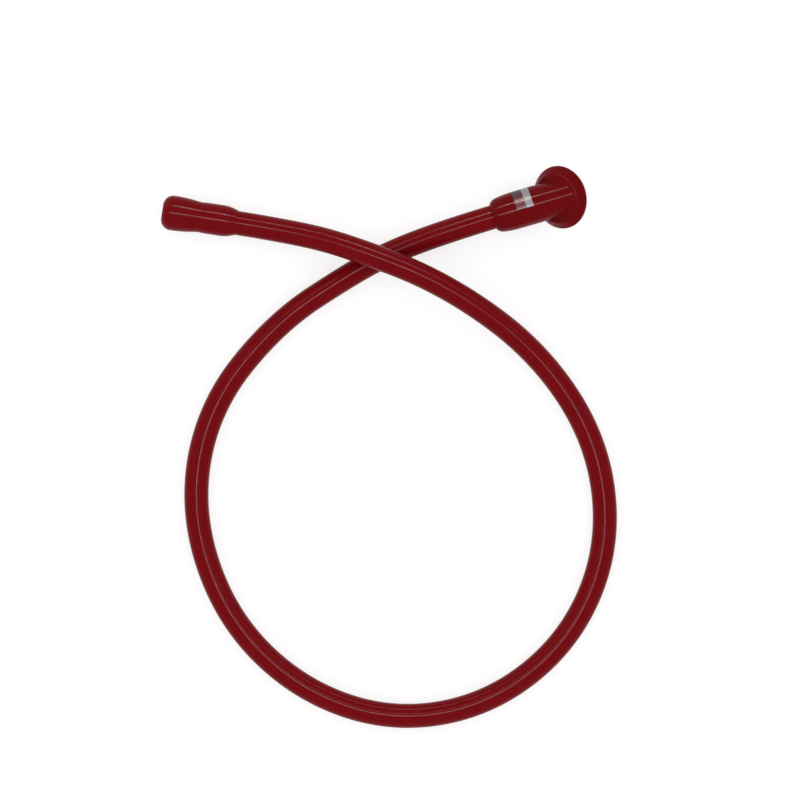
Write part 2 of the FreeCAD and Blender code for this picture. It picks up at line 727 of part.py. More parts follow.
def cuff():
    """The soft cuff: rounded mouth, crest, flare, waist and a straight part over the hose end."""
    pocket = "(sizes.hose_radius + sizes.seat_gap)"
    groove = "(sizes.hose_radius + sizes.ferrule_wall + 2 * sizes.ferrule_gap)"
    groove_start = f"({HOSE_END_CUFF} + sizes.ferrule_start - sizes.ferrule_gap)"
    groove_end = f"({groove_start} + sizes.ferrule_length + 2 * sizes.ferrule_gap)"
    inset = "(sizes.cuff_bore - sizes.rim_crest + sizes.mouth_round)"
    mouth = f"sizes.mouth_round - sqrt(sizes.mouth_round * sizes.mouth_round - {inset} * {inset})"
    skirt = "(sizes.cuff_length - sizes.skirt_length)"
    corners = [
        (mouth, "sizes.cuff_bore", "sizes.mouth_round"),
        ("sizes.mouth_round", "sizes.rim_crest"),
        ("sizes.crest_length", "sizes.rim_crest"),
        ("sizes.flare_length", "sizes.flare_radius"),
        ("sizes.waist_start", "sizes.waist_radius", "0 - sizes.waist_round"),
        ("sizes.waist_start + sizes.waist_length", "sizes.cuff_radius"),
        (skirt, "sizes.cuff_radius", "sizes.skirt_round"),
        ("sizes.cuff_length", "sizes.skirt_radius"),
        ("sizes.cuff_length", pocket),
        (groove_end, pocket),
        (groove_end, groove),
        (groove_start, groove),
        (groove_start, pocket),
        ("sizes.socket_depth", pocket),
        ("sizes.socket_depth", "sizes.cuff_bore"),
    ]
    return on_cuff(turned("cuff", corners))


def label():
    """The sticker, from just past the top of the barrel down its +Y side."""
    low = "sizes.barrel_radius + sizes.label_lift"
    end = "sizes.label_start + sizes.label_length"
    corners = [
        ("sizes.label_start", low),
        ("sizes.label_start", f"{low} + sizes.label_thickness"),
        (end, f"{low} + sizes.label_thickness"),
        (end, low),
    ]
    piece = turned("label", corners, "sizes.label_wrap")
    start = "90 + sizes.label_overlap - sizes.label_wrap"
    return place(piece, "sizes.head_x", "sizes.head_y", HEAD_Z, (1, 0, 0), start)


def hose_points():
    """The corners of the hose's route, from its end in the cuff to its end in the bulb."""
    turn = math.radians(number("sizes.cuff_turn"))
    ahead = FreeCAD.Vector(math.cos(turn), math.sin(turn), 0)
    mouth = FreeCAD.Vector(number("sizes.cuff_x"), number("sizes.cuff_y"), number(CUFF_Z))
    first = mouth + ahead * number(HOSE_END_CUFF)
    bulb = FreeCAD.Vector(number("sizes.head_x"), number("sizes.head_y"), number(HEAD_Z))
    last = bulb + FreeCAD.Vector(number(HOSE_END_HEAD), 0, 0)
    floor = number("sizes.hose_radius")
    heights = {"floor": floor, "hump": 3 * floor + number("sizes.crossing_gap")}
    points = [first, first + ahead * number("sizes.cuff_run")]
    points += [FreeCAD.Vector(x, y, heights[level]) for x, y, level in ROUTE]
    points += [last - FreeCAD.Vector(number("sizes.head_run"), 0, 0), last]
    return points


def hose_path(points):
    """Straight runs joined by tangent arcs, each as large as its two runs allow. Prints the radii."""
    edges = []
    radii = []
    here = points[0]
    for before, corner, after in zip(points, points[1:], points[2:]):
        back = (before - corner).normalize()
        ahead = (after - corner).normalize()
        half_turn = (math.pi - back.getAngle(ahead)) / 2
        cut = ARC_SHARE * min((before - corner).Length, (after - corner).Length)
        radius = cut / math.tan(half_turn)
        start = corner + back * cut
        end = corner + ahead * cut
        to_centre = (back + ahead).normalize()
        middle = corner + to_centre * (radius / math.cos(half_turn) - radius)
        edges.append(Part.LineSegment(here, start).toShape())
        edges.append(Part.Arc(start, middle, end).toShape())
        radii.append(round(radius))
        here = end
    edges.append(Part.LineSegment(here, points[-1]).toShape())
    print("hose: radii", radii)
    return Part.Wire(edges)


def hose():
    """The hose: an open tube along its route."""
    points = hose_points()
    path = hose_path(points)
    ahead = points[1] - points[0]
    outside, inside = number("sizes.hose_radius"), number("sizes.hose_bore")
    full, bore = [Part.Face(Part.Wire(Part.makeCircle(r, points[0], ahead))) for r in (outside, inside)]
    tube = path.makePipe(full.cut(bore).Faces[0])
    area = math.pi * (outside**2 - inside**2)
    share = tube.Volume / (area * path.Length)
    print(f"hose: {path.Length:.1f} mm along its middle, volume {share:.5f} of section times length")
    if abs(share - 1) > 0.002:
        raise RuntimeError("the hose's volume is not its section times its length")
    piece = doc.addObject("Part::Feature", "hose")
    piece.Shape = tube
    return piece


def check_pieces():
    """Stops if any object failed or any sub-part is not valid solids."""
    failed = [o.Name for o in doc.Objects if "Invalid" in o.State or "Error" in o.State]
    if failed:
        raise RuntimeError(f"failed objects: {failed}")
    for piece in nodes:
        shape = piece.Shape
        if shape.isNull() or not shape.isValid() or not shape.Solids:
            raise RuntimeError(f"{piece.Label} is not a valid solid")


def write_pieces():
    """Writes each sub-part to its own file."""
    os.makedirs("parts", exist_ok=True)
    for piece in nodes:
        piece.Shape.exportStep(f"parts/{piece.Label}.step")
        print(f"{piece.Label}: {len(piece.Shape.Solids)} solid(s), {piece.Shape.Volume / 1000:.3f} cm3")


sheet = make_sheet()
keep(bulb_body(), "bulb_body")
keep(label(), "label")
valve("inlet", lambda piece: on_foot(piece, f"{CEILING_X} - sizes.flange_thickness"))
valve(
    "outlet",
    lambda piece: facing_hose(piece, f"{HOSE_END_HEAD} + sizes.tail_flange + sizes.flange_thickness"),
)
keep(strainer_plate(), "strainer_plate")
keep(on_foot(round_foot(screw, "strainer_screws")), "strainer_screws")
head_end()
keep(cuff(), "cuff")
cuff_end()
keep(hose(), "hose")
doc.recompute()
check_pieces()
write_pieces()
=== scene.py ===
"""Siphon bulb pump: squeeze bulb with a slanted strainer foot, hose and soft outlet cuff.

Each operator makes one piece or group of pieces round the pump's fixed frame. Properties are in metres.
Points, profiles and grids are in millimetres until a piece is made of them.
"""

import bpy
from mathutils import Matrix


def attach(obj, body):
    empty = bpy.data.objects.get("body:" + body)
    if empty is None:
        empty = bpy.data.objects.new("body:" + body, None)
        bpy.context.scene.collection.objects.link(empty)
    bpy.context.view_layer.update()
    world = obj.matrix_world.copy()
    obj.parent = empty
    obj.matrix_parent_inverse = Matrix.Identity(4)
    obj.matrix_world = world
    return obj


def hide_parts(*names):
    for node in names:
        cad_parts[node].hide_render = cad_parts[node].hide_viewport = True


bl_info = {
    "name": "Siphon bulb pump",
    "version": (1, 0, 0),
    "blender": (4, 5, 0),
    "location": "3D View > Sidebar > Pump",
    "description": "Builds the bulb, foot, hose, cuff, label, screws and studio of a siphon bulb pump",
    "category": "Add Mesh",
}

import math

import bmesh
import bpy
import numpy as np
from bpy.props import FloatProperty, FloatVectorProperty, PointerProperty
from mathutils import Matrix

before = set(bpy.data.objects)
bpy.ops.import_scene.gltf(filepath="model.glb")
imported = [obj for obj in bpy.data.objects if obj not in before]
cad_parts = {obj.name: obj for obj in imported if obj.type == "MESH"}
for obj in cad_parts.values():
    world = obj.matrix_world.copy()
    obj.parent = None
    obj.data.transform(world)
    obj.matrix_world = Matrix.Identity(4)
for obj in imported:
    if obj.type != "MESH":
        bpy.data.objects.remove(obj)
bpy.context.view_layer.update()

MM = 0.001
BODY = "pump"

# A length under TINY counts as none and one under SLACK as small, in millimetres. Points of a mesh nearer
# than POLE_GAP, in metres, become one, and an edge that bends by more than SHARP_ANGLE shows as an edge.
TINY = 1e-6
SLACK = 0.001
POLE_GAP = 1e-7
SHARP_ANGLE = math.radians(38.0)

# Where the bulb, the foot and the cuff stand: points and lengths in millimetres, the turn in degrees.
HEAD_START = (115.0, -41.0, 26.0245)
FOOT_CROSS = 67.4
CUFF_MOUTH = (-208.4, 60.2, 18.0)
CUFF_TURN = -25.1

# The hose's points in millimetres, from the cuff to the bulb.
ROUTE = [
    (-166.7, 40.7, 18.0),
    (-87.0, 3.3, 18.0),
    (-31.0, -31.0, 41.0),
    (51.0, -95.0, 41.0),
    (122.0, -188.0, 12.5),
    (153.0, -295.0, 12.5),
    (133.0, -400.0, 12.5),
    (67.0, -480.0, 12.5),
    (-30.0, -519.0, 12.5),
    (-131.0, -507.0, 12.5),
    (-214.0, -447.0, 12.5),
    (-264.0, -354.0, 12.5),
    (-267.0, -241.0, 12.5),
    (-219.0, -145.0, 12.5),
    (-129.0, -82.0, 12.5),
    (-40.0, -55.0, 12.5),
    (10.0, -45.0, 12.5),
    (80.0, -41.0, 26.0245),
    (138.0, -41.0, 26.0245),
]

# The barrel's outside: distance from its hose end and radius.
BARREL_KNOTS = [
    (0.9, 14.9),
    (2.6, 16.2),
    (5.0, 17.45),
    (8.7, 18.2),
    (12.5, 18.7),
    (17.9, 19.15),
    (24.6, 19.3),
    (36.0, 19.35),
    (47.0, 19.33),
    (51.0, 19.05),
    (60.0, 17.95),
    (75.0, 15.98),
    (95.0, 13.35),
]

# The bore of the barrel's neck, which holds the hose, the neck's depth, and the lip round it: distance,
# radius and corner radius.
NECK_RADIUS = 12.58
NECK_DEPTH = 22.0
LIP_CORNERS = [(6.0, NECK_RADIUS, 0.0), (0.0, NECK_RADIUS, 0.5), (0.0, 13.9, 0.6), (0.9, 14.9, 0.0)]

# The foot, by height over the middle of its back wall: that wall's outside and inside, the ledge under
# the strainer plate and the face of the rim.
FOOT_BACK = 1.5
FOOT_CEILING = -1.5
PLATE_LEDGE = -6.5
FOOT_FACE = -9.0

# Radii of the foot's shoulder, bowl and valve hole, and how far in from its edge rim and ledge end.
FOOT_SHOULDER = 25.3
BOWL_RADIUS = 22.5
VALVE_HOLE = 7.85
RIM_END = 3.3
LEDGE_END = 5.5

# How the bulb's skin is divided: points round it, places of the rings that stand square to the barrel,
# rings that turn from there to the foot's slant, rings of the soft corner and after how many of them the
# map is the foot's, rings of the barrel's inside, and the most and the least gap of the foot's rings.
BULB_AROUND = 240
SQUARE_RINGS = np.concatenate([np.linspace(0.9, 20.0, 40), np.linspace(22.0, 38.0, 9)])
SLANT_RINGS = 24
CORNER_RINGS = 9
CORNER_TURN = 3
INNER_RINGS = 12
FOOT_GAP = 0.9
LEAST_GAP = 0.004

# Distances along the barrel at which its meeting with the foot is looked for.
MEETING_SEARCH = np.linspace(30.0, 92.0, 1600)

# The mouth of the cuff, an arc from socket to crest: its radius, the height of its centre and the angle,
# in radians, at which it starts. Then the socket in it, the bore over the hose, and how they are divided.
MOUTH_ROUND = 10.5
MOUTH_CENTRE = 7.5
MOUTH_START = 0.14
SOCKET_RADIUS = 9.0
SOCKET_DEPTH = 42.0
SLEEVE_RADIUS = 12.56
MOUTH_RINGS = 26
SIDE_RINGS = 120
CUFF_AROUND = 160

# The cuff's outside behind the crest: distance from its mouth and radius.
CUFF_KNOTS = [
    (10.5, 18.0),
    (13.5, 18.0),
    (21.5, 17.65),
    (27.7, 17.05),
    (33.8, 16.25),
    (37.2, 15.75),
    (40.2, 15.62),
    (43.2, 15.88),
    (47.0, 16.0),
    (61.5, 16.0),
    (64.6, 15.9),
    (67.7, 15.5),
    (70.7, 14.85),
    (73.8, 13.9),
    (76.6, 12.95),
]

# The strainer's screws: how many, the circle that they stand on, the height of their faces, the radius
# within which the cross lies, and how faces, screws and bosses are divided. The sides of a screw and of
# its boss are by height, radius and corner radius.
SCREWS = 3
SCREW_CIRCLE = 23.6
SCREW_FACE = -8.5
CROSS_REACH = 1.75
FACE_RINGS = 36
SCREW_AROUND = 96
BOSS_AROUND = 48
SCREW_SIDE = [
    (SCREW_FACE, 1.9, 0.0),
    (SCREW_FACE, 2.5, 0.06),
    (-7.25, 1.25, 0.3),
    (-2.5, 1.25, 0.4),
    (-2.5, 0.0, 0.0),
]
BOSS_SIDE = [
    (-1.4, 0.0, 0.0),
    (-1.4, 3.1, 0.0),
    (-6.45, 3.1, 0.25),
    (-6.45, 1.3, 0.1),
    (-2.2, 1.3, 0.0),
    (-2.2, 0.0, 0.0),
]

# The cross in a screw's face: half the width and half the length of a bar, the run of its walls and its
# depth.
CROSS_WIDTH = 0.34
CROSS_LENGTH = 1.4
CROSS_WALL = 0.12
CROSS_DEPTH = 0.9

# The label: where it starts round the barrel and how far it goes, in degrees from the top, how far askew
# it sits, the gap under it, and its points round and along.
LABEL_FIRST = -3.0
LABEL_WRAP = 94.0
LABEL_SKEW = 1.6
LABEL_LIFT = 0.04
LABEL_AROUND = 61
LABEL_ALONG = 41

# The label's looks: the parts of its length at which its dark edge ends, its dark line starts and its pale
# panel starts, the parts of its width between which red goes over to dark, the shade of the edge and how
# much of it the line takes, the noise at which specks start and how much of it they take, the shades of
# the pale panel, and the roughness of the film.
LABEL_EDGE = 0.045
LABEL_LINE = 0.56
LABEL_SPLIT = 0.58
FADE_START = 0.3
FADE_END = 0.62
EDGE_SHADE = 0.35
LINE_SHARE = 0.8
SPECK_LEVEL = 0.58
SPECK_SHARE = 0.7
PALE_LOW = 0.86
PALE_HIGH = 1.1
FILM_ROUGHNESS = (0.3, 0.42)

BLACK = (0.0, 0.0, 0.0)
WHITE = (1.0, 1.0, 1.0)

# The part of 0 to 1 that a noise mostly keeps to, and how many patches of a finish lie in a metre: its
# colour, its gloss and its grain, the same for the film of the label, and the depth of the grain.
NOISE_LOW = 0.3
NOISE_HIGH = 0.7
CLOUDS = 45.0
GLOSS_PATCHES = 160.0
GRAIN = 900.0
VINYL_GRAIN = 24.0
FILM_SPECKS = 1500.0
FILM_CLOUDS = 500.0
FILM_GLOSS = 300.0
FILM_GRAIN = 700.0
GRAIN_DEPTH = 0.00002
FILM_DEPTH = 0.00001

# Which way a drawn-out gloss runs, as a part of a full turn from the map's U direction.
ALONG_MAP = 0.0
ACROSS_MAP = 0.25

# The camera looks straight down on this point, in metres. Its right is turned from +X by so many degrees,
# and it sees so many metres across from far away.
VIEW_CENTRE = (-0.0293384863, -0.1937791723, 0.0)
VIEW_TURN = -16.4
VIEW_WIDTH = 0.82
LENS = 600.0
SENSOR = 36.0
VIEW_REACH = 100.0

# The floor: half its side in metres, its grey under light, the strength of its glow and the share that
# the glow has.
FLOOR_HALF = 3.0
FLOOR_GREY = 0.8
FLOOR_GLOW = 1.4
GLOW_SHARE = 0.5

# The sun overhead: how high it stands, how many degrees wide it is and its power.
SUN_HEIGHT = 3.0
SUN_WIDTH = 4.0
SUN_POWER = 2.8

# The spots: name, how far up the picture from its centre one stands, how high, how far up the picture it
# faces, the degrees of its cone and its power. Then the soft share of a cone and the radius of a lamp.
SPOTS = (
    ("side_lamp", 0.62, 0.42, 0.26, 62.0, 15.0),
    ("low_lamp", 0.03, 0.95, -0.45, 42.0, 9.0),
)
SPOT_BLEND = 0.35
SPOT_RADIUS = 0.025


def srgb(red, green, blue):
    """The linear value of a colour written in 0 to 255 steps."""
    share = np.array([red, green, blue]) / 255.0
    low = share / 12.92
    high = ((share + 0.055) / 1.055) ** 2.4
    return tuple(float(v) for v in np.where(share <= 0.04045, low, high))


def length_property(name, description, value):
    """A length that a user can change, in metres."""
    return FloatProperty(name=name, description=description, default=value, unit="LENGTH", precision=5)


def colour_property(name, description, value):
    """A linear colour that a user can change."""
    return FloatVectorProperty(
        name=name, description=description, default=value, subtype="COLOR", size=3, min=0.0, max=1.0
    )


class PumpSizes(bpy.types.PropertyGroup):
    """Sizes of the pieces made here."""

    hose_diameter: length_property("Hose diameter", "Outside of the hose", 0.025)
    hose_length: length_property("Hose length", "Hose from end to end, sockets included", 1.70)
    hose_wall: length_property("Hose wall", "Wall of the hose", 0.003)
    barrel_wall: length_property("Barrel wall", "Wall of the squeezed barrel", 0.003)
    foot_radius: length_property("Foot radius", "Rim of the foot", 0.0325)
    foot_tilt: FloatProperty(
        name="Foot tilt",
        description="Face of the foot from the level",
        default=math.radians(37.0),
        subtype="ANGLE",
    )
    blend_radius: length_property("Blend", "Soft corner between barrel and foot", 0.0026)
    label_start: length_property("Label start", "Hose end of the barrel to the label", 0.0242)
    label_length: length_property("Label length", "Label along the barrel", 0.0182)
    label_thickness: length_property("Label thickness", "Film of the label", 0.00018)


class PumpColours(bpy.types.PropertyGroup):
    """Colours of the finishes."""

    bulb: colour_property("Bulb", "Soft red vinyl of bulb and foot", srgb(106, 2, 8))
    hose: colour_property("Hose", "Soft red vinyl of hose and cuff", srgb(113, 3, 12))
    label_dark: colour_property("Label, dark", "Panel at the hose end", srgb(78, 60, 70))
    label_pale: colour_property("Label, pale", "Panel at the foot end", srgb(146, 141, 143))
    moulding: colour_property("Mouldings", "Valve seats, cages and tails", srgb(214, 210, 202))
    strainer: colour_property("Strainer", "Strainer plate", srgb(38, 38, 41))
    rubber: colour_property("Rubber", "Gaskets and seal rings", srgb(28, 28, 29))
    steel: colour_property("Steel", "Balls and screws", srgb(206, 207, 210))
    brass: colour_property("Brass", "Ferrules", srgb(202, 166, 96))
    floor: colour_property("Floor", "Studio floor", WHITE)


def unit(vectors):
    """Vectors divided by their own lengths."""
    return vectors / np.linalg.norm(vectors, axis=-1, keepdims=True)


def rounded(corners, steps):
    """A line through corners (x, y, radius), each corner cut by its circle's arc.

    The arc at a corner is the rational curve ((1-t)^2 A + 2 w t (1-t) C + t^2 B) over the sum of its
    weights, where A and B are the tangent points, C the corner and w the sine of half its angle.
    """
    table = np.array(corners, float)
    spot, radius = table[:, :2], table[:, 2]
    inner, before, after = spot[1:-1], spot[:-2], spot[2:]
    back, ahead = unit(before - inner), unit(after - inner)
    half = np.arccos(np.clip((back * ahead).sum(1), -1.0, 1.0)) / 2
    cut = (radius[1:-1] / np.tan(half))[:, None]
    start, end = inner + back * cut, inner + ahead * cut
    t = np.linspace(0.0, 1.0, steps)[None, :, None]
    weight = np.sin(half)[:, None, None]
    parts = (1 - t) ** 2, 2 * weight * t * (1 - t), t**2
    top = parts[0] * start[:, None] + parts[1] * inner[:, None] + parts[2] * end[:, None]
    line = np.vstack([spot[:1], (top / sum(parts)).reshape(-1, 2), spot[-1:]])
    apart = np.linalg.norm(np.diff(line, axis=0), axis=1) > TINY
    return line[np.concatenate([[True], apart])]


def through(knots, x):
    """A smooth curve y(x) through knots: cubic pieces that share their slope at each knot, which is the
    mean of the straight slopes beside it, or level where those change sign."""
    table = np.array(knots, float)
    kx, ky = table[:, 0], table[:, 1]
    slope = np.diff(ky) / np.diff(kx)
    inner = (slope[:-1] + slope[1:]) / 2
    inner = np.where(slope[:-1] * slope[1:] <= 0, 0.0, inner)
    slopes = np.concatenate([[slope[0]], inner, [slope[-1]]])
    i = np.clip(np.searchsorted(kx, x) - 1, 0, len(kx) - 2)
    step = kx[i + 1] - kx[i]
    t = (x - kx[i]) / step
    return (
        (2 * t**3 - 3 * t**2 + 1) * ky[i]
        + (t**3 - 2 * t**2 + t) * step * slopes[i]
        + (3 * t**2 - 2 * t**3) * ky[i + 1]
        + (t**3 - t**2) * step * slopes[i + 1]
    )


def length_along(line):
    """Each point's distance from the first, added up along the line."""
    return np.concatenate([[0.0], np.cumsum(np.linalg.norm(np.diff(line, axis=0), axis=1))])


def dense(line, spacing):
    """The same line with its long straight stretches divided, so that no step is over the spacing."""
    along = length_along(line)
    gap = np.linalg.norm(np.diff(line, axis=0), axis=1)
    count = np.maximum(np.ceil(gap / spacing).astype(int), 1)
    share = np.concatenate([np.arange(n) / n for n in count])
    place = np.repeat(along[:-1], count) + share * np.repeat(gap, count)
    place = np.append(place, along[-1])
    return np.column_stack([np.interp(place, along, line[:, k]) for k in range(line.shape[1])])


def foot_frame(tilt):
    """Origin and axes of the foot: X out of its back, Y up its slope, Z level across it."""
    origin = np.array(HEAD_START) + (FOOT_CROSS, 0.0, 0.0)
    back = (-math.sin(tilt), 0.0, math.cos(tilt))
    slope = (math.cos(tilt), 0.0, math.sin(tilt))
    return origin, np.array([back, slope, (0.0, 1.0, 0.0)])


def cuff_frame():
    """Origin and axes of the cuff: X from its mouth into the hose."""
    turn = math.radians(CUFF_TURN)
    ahead = (math.cos(turn), math.sin(turn), 0.0)
    left = (-math.sin(turn), math.cos(turn), 0.0)
    return np.array(CUFF_MOUTH), np.array([ahead, left, (0.0, 0.0, 1.0)])


def turned(profile, around, place):
    """A surface of revolution: the point at (x, r) and angle a is x, r cos a, r sin a in its frame."""
    origin, axes = place
    angle = np.linspace(0.0, 2 * math.pi, around, endpoint=False)
    x = np.repeat(profile[:, :1], around, axis=1)
    local = np.stack([x, profile[:, 1:] * np.cos(angle), profile[:, 1:] * np.sin(angle)], axis=-1)
    return origin + local @ axes


def grid_faces(rows, columns, rows_close, columns_close):
    """Corner numbers of the quads of a grid, and each corner's place in a 0 to 1 map of the grid."""
    span = np.array([rows if rows_close else rows - 1, columns if columns_close else columns - 1])
    i, j = np.arange(span[0])[:, None], np.arange(span[1])[None, :]
    corners = ((i, j), (i + 1, j), (i + 1, j + 1), (i, j + 1))
    place = np.stack([np.stack(np.broadcast_arrays(a, b), axis=-1) for a, b in corners], axis=2)
    place = place.reshape(-1, 4, 2)
    quads = (place[..., 0] % rows) * columns + place[..., 1] % columns
    return quads, (place / span)[..., ::-1]


def volume(points, quads):
    """Signed volume, positive where the faces point outwards: the sum over the quads of the two
    tetrahedra that stand on their halves and meet at the origin."""
    a, b, c, d = (points[quads[:, k]] for k in range(4))
    first = (np.cross(a, b) * c).sum()
    second = (np.cross(a, c) * d).sum()
    return (first + second) / 6


def piece_of(name, *grids, rows_close=True, columns_close=True, outward=None, turned_rows=()):
    """A mesh object from grids of points in millimetres, with its faces outwards and a map over each
    grid: U across the columns, V along the rows, and the other way in the turned rows."""
    points, quads, places = [], [], []
    for grid in grids:
        rows, columns = grid.shape[:2]
        corners, place = grid_faces(rows, columns, rows_close, columns_close)
        changed = np.isin(corners[:, 0] // columns, turned_rows)
        place[changed] = place[changed][..., ::-1]
        facing = volume(grid.reshape(-1, 3), corners) if outward is None else outward
        if facing < 0:
            corners, place = corners[:, ::-1], place[:, ::-1]
        quads.append(corners + sum(map(len, points)))
        points.append(grid.reshape(-1, 3) * MM)
        places.append(place)
    mesh = bpy.data.meshes.new(name)
    mesh.from_pydata(np.vstack(points).tolist(), [], np.vstack(quads).tolist())
    uv = mesh.uv_layers.new(name="UVMap")
    uv.data.foreach_set("uv", np.vstack(places).astype(np.float32).ravel())
    if not rows_close:
        join_poles(mesh)
    mesh.shade_smooth()
    mesh.set_sharp_from_angle(angle=SHARP_ANGLE)
    piece = bpy.data.objects.new(name, mesh)
    bpy.context.scene.collection.objects.link(piece)
    return piece


def join_poles(mesh):
    """Makes one point of each row that has no radius."""
    work = bmesh.new()
    work.from_mesh(mesh)
    bmesh.ops.remove_doubles(work, verts=work.verts, dist=POLE_GAP)
    work.to_mesh(mesh)
    work.free()


def finish_piece(piece, material, slot, *nodes):
    """Gives a piece its material and its body, and hides the frame's nodes that it stands for. The slot is
    not used.
    """
    piece.data.materials.append(material)
    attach(piece, BODY)
    if nodes:
        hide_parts(*nodes)


def new_material(name):
    """A node material with a principled shader, its node tree and that shader."""
    material = bpy.data.materials.new(name)
    material.use_nodes = True
    tree = material.node_tree
    return material, tree, tree.nodes["Principled BSDF"]


def noise(tree, scale, detail=3.0):
    """A noise over the piece's own coordinates, with so many patches in a metre."""
    place = tree.nodes.new("ShaderNodeTexCoord")
    texture = tree.nodes.new("ShaderNodeTexNoise")
    texture.inputs["Scale"].default_value = scale
    texture.inputs["Detail"].default_value = detail
    texture.inputs["Roughness"].default_value = 0.55
    tree.links.new(place.outputs["Object"], texture.inputs["Vector"])
    return texture.outputs["Fac"]


def spread(tree, value, low, high):
    """A noise carried over to another range."""
    node = tree.nodes.new("ShaderNodeMapRange")
    node.inputs["From Min"].default_value = NOISE_LOW
    node.inputs["From Max"].default_value = NOISE_HIGH
    node.inputs["To Min"].default_value = low
    node.inputs["To Max"].default_value = high
    tree.links.new(value, node.inputs["Value"])
    return node.outputs["Result"]


def ramp(tree, value, stops, hard=False):
    """A colour that follows a value, from stops (position, colour): in steps where it is hard."""
    node = tree.nodes.new("ShaderNodeValToRGB")
    node.color_ramp.interpolation = "CONSTANT" if hard else "LINEAR"
    ends = node.color_ramp.elements
    for k, (position, colour) in enumerate(stops):
        stop = ends[k] if k < 2 else ends.new(position)
        stop.position = position
        stop.color = (*colour, 1.0)
    tree.links.new(value, node.inputs["Fac"])
    return node.outputs["Color"]


def blend(tree, share, first, second):
    """The second of two colours over the first by a share. A colour is a tuple or a socket."""
    node = tree.nodes.new("ShaderNodeMix")
    node.data_type = "RGBA"
    tree.links.new(share, node.inputs["Factor"])
    for value, socket in ((first, node.inputs["A"]), (second, node.inputs["B"])):
        if isinstance(value, tuple):
            socket.default_value = (*value, 1.0)
        else:
            tree.links.new(value, socket)
    return node.outputs["Result"]


def scaled(colour, share):
    """A colour times a share, kept within 0 to 1."""
    return tuple(min(c * share, 1.0) for c in colour)


def bump(tree, shader, height, strength, distance):
    """Raises the shader's surface by a height of 0 to 1 times the distance."""
    node = tree.nodes.new("ShaderNodeBump")
    node.inputs["Strength"].default_value = strength
    node.inputs["Distance"].default_value = distance
    tree.links.new(height, node.inputs["Height"])
    tree.links.new(node.outputs["Normal"], shader.inputs["Normal"])


def finish(name, colour, roughness, grain=GRAIN, metallic=0.0, specular=0.5, shade=0.06):
    """A moulded or drawn finish: colour clouds, uneven gloss and a fine grain."""
    material, tree, shader = new_material(name)
    stops = [(NOISE_LOW, scaled(colour, 1 - shade)), (NOISE_HIGH, scaled(colour, 1 + shade))]
    tree.links.new(ramp(tree, noise(tree, CLOUDS), stops), shader.inputs["Base Color"])
    gloss = spread(tree, noise(tree, GLOSS_PATCHES), roughness * 0.85, roughness * 1.15)
    tree.links.new(gloss, shader.inputs["Roughness"])
    shader.inputs["Metallic"].default_value = metallic
    shader.inputs["Specular IOR Level"].default_value = specular
    bump(tree, shader, noise(tree, grain, detail=2.0), strength=0.25, distance=GRAIN_DEPTH)
    return material


def vinyl(name, colour, turn):
    """Soft red vinyl: deep colour under a glossy skin, whose gloss is drawn out so that a lamp shows as
    a thin line, along the map's U direction or across it by the turn."""
    material = finish(name, colour, roughness=0.27, grain=VINYL_GRAIN, specular=0.05, shade=0.04)
    tree = material.node_tree
    shader = tree.nodes["Principled BSDF"]
    along = tree.nodes.new("ShaderNodeTangent")
    along.direction_type = "UV_MAP"
    along.uv_map = "UVMap"
    tree.links.new(along.outputs["Tangent"], shader.inputs["Tangent"])
    shader.inputs["Anisotropic"].default_value = 1.0
    shader.inputs["Anisotropic Rotation"].default_value = turn
    return material


class PUMP_OT_hose(bpy.types.Operator):
    """Lays the hose: one smooth tube from the cuff, over its own strand, round the loop and into the bulb"""

    bl_idname = "pump.hose"
    bl_label = "Hose"

    def execute(self, context):
        sizes = context.scene.pump_sizes
        line = bpy.data.curves.new("hose_tube", "CURVE")
        line.dimensions = "3D"
        line.resolution_u = 16
        line.bevel_depth = sizes.hose_diameter / 2
        line.bevel_resolution = 14
        spline = line.splines.new("NURBS")
        spline.points.add(len(ROUTE) - 1)
        points = np.column_stack([np.array(ROUTE) * MM, np.ones(len(ROUTE))])
        spline.points.foreach_set("co", points.ravel())
        spline.order_u = 3
        spline.use_endpoint_u = True
        hose = bpy.data.objects.new("hose_tube", line)
        context.scene.collection.objects.link(hose)
        solid = hose.modifiers.new("wall", "SOLIDIFY")
        solid.thickness = sizes.hose_wall
        solid.offset = -1.0
        red = vinyl("hose_vinyl", context.scene.pump_colours.hose, ALONG_MAP)
        finish_piece(hose, red, "red_hose", "hose")
        return {"FINISHED"}


def cuff_profile():
    """The cuff's section (x, r): the mouth's arc, the outside through its knots, and back along the
    sleeve's bore, the step and the socket. At angle a the arc, of radius R round a centre at r = C, is
    at x = R - R cos a and r = C + R sin a."""
    angle = np.linspace(MOUTH_START, math.pi / 2, MOUTH_RINGS)[:-1]
    mouth = np.column_stack(
        [MOUTH_ROUND - MOUTH_ROUND * np.cos(angle), MOUTH_CENTRE + MOUTH_ROUND * np.sin(angle)]
    )
    x = np.linspace(CUFF_KNOTS[0][0], CUFF_KNOTS[-1][0], SIDE_RINGS)
    side = np.column_stack([x, through(CUFF_KNOTS, x)])
    inside = rounded(
        [
            (*CUFF_KNOTS[-1], 0.0),
            (77.0, 12.75, 0.15),
            (76.9, SLEEVE_RADIUS, 0.1),
            (SOCKET_DEPTH, SLEEVE_RADIUS, 0.0),
            (SOCKET_DEPTH, SOCKET_RADIUS, 0.3),
            (1.2, SOCKET_RADIUS, 1.2),
            (*mouth[0], 0.0),
        ],
        steps=4,
    )
    return np.vstack([mouth, side, inside[1:-1]])


